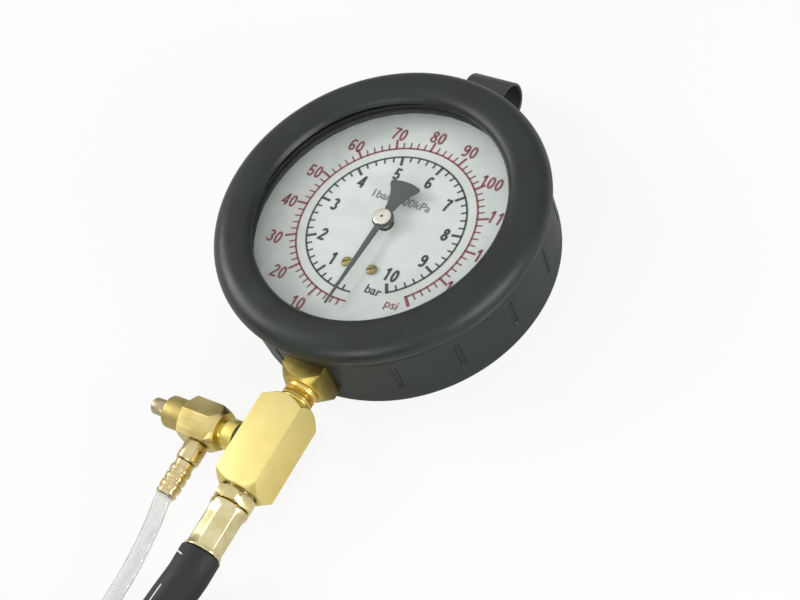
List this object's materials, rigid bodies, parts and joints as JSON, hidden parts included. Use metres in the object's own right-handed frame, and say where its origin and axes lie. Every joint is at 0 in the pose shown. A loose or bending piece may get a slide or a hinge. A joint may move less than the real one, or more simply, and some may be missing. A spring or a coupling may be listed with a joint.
{
  "type": "fuel pressure tester",
  "caption": "Dial pressure gauge in a rubber boot with a hanging hook, a brass tee with a press-to-bleed valve and clear drain tube, and a crimped pressure hose.",
  "frame": {"origin": "centre of the boot's flat back, on which the gauge lies", "axes": "+Z out of the dial, -Y along the stem towards the hoses, -X along the bleed valve towards its button"},
  "size_m": [0.2132, 0.3216, 0.0305],
  "materials": {
    "boot_rubber": "matte",
    "hose_rubber": "matte",
    "seal_rubber": "matte",
    "black_steel": "satin",
    "zinc_steel": "bright",
    "lens_glass": "clear",
    "clear_pvc": "clear",
    "dial_enamel": "matte",
    "black_ink": "matte",
    "red_ink": "matte",
    "pointer_paint": "satin",
    "bright_brass": "satin",
    "plain_brass": "bright",
    "champagne_plate": "satin",
    "tube_bronze": "satin",
    "nickel_plate": "bright",
    "dark_plastic": "matte",
    "black_nylon": "matte"
  },
  "bodies": {
    "gauge": {"boot": "boot_rubber", "gauge_case": "black_steel", "bezel_ring": "black_steel", "lens": "lens_glass", "lens_seal": "seal_rubber", "dial_spacer": "dark_plastic", "dial_plate": "dial_enamel", "bar_scale": "black_ink", "psi_scale": "red_ink", "dial_screw_left": "plain_brass", "dial_screw_right": "plain_brass", "sector_arbor": "zinc_steel", "tip_pin": "zinc_steel", "tube_tip": "plain_brass", "bourdon_tube": "tube_bronze", "movement_back_plate": "plain_brass", "movement_front_plate": "plain_brass", "movement_pillar_1": "plain_brass", "movement_pillar_2": "plain_brass", "movement_pillar_3": "plain_brass", "movement_screw_1": "zinc_steel", "movement_screw_2": "zinc_steel", "case_screw_1": "zinc_steel", "case_screw_2": "zinc_steel", "socket": "plain_brass", "tee_block": "bright_brass", "hose_nipple": "champagne_plate", "hose_ferrule": "champagne_plate", "valve_body": "plain_brass", "valve_seal": "seal_rubber", "valve_cap": "bright_brass", "spring_seat": "zinc_steel", "drain_nipple": "plain_brass", "drain_sleeve": "bright_brass", "drain_tube": "clear_pvc", "drain_tube_coil": "clear_pvc", "drain_tube_tie": "black_nylon", "hanging_hook": "black_steel", "pressure_hose": "hose_rubber", "hose_coil": "hose_rubber", "hose_tail": "hose_rubber", "hose_tie": "black_nylon", "hose_end_ferrule": "champagne_plate", "hose_end_nipple": "champagne_plate"},
    "needle": {"pointer": "pointer_paint", "pointer_boss": "nickel_plate", "pinion_arbor": "zinc_steel", "hairspring": "zinc_steel", "hairspring_collet": "plain_brass"},
    "sector": {"sector_gear": "plain_brass", "tail_pin": "zinc_steel"},
    "link": {"tip_link": "zinc_steel"},
    "button": {"bleed_button": "champagne_plate", "bleed_poppet": "seal_rubber", "poppet_spring": "zinc_steel"}
  },
  "joints": [
    {"name": "sector_turn", "type": "hinge", "parent": "gauge", "child": "sector", "pos_m": [0, -0.016, 0.0125], "axis": [0, 0, 1], "range_deg": [0, 36.23], "stiffness_Nm_per_rad": 0.002},
    {"name": "pointer_turn", "type": "hinge", "parent": "gauge", "child": "needle", "pos_m": [0, 0, 0.0223], "axis": [0, 0, 1], "range_deg": [-326.1, 0]},
    {"name": "link_swing", "type": "hinge", "parent": "sector", "child": "link", "pos_m": [0.00223, -0.02113, 0.0136], "axis": [0, 0, 1], "range_deg": [-36.3, 0]},
    {"name": "bleed_button_slide", "type": "slide", "parent": "gauge", "child": "button", "axis": [1, 0, 0], "range_m": [0, 0.002], "stiffness_N_per_m": 600, "springref_m": -0.004}
  ],
  "couplings": [
    {"joint": "pointer_turn", "follows": "sector_turn", "ratio": -9},
    {"joint": "link_swing", "follows": "sector_turn", "ratio": -1}
  ]
}
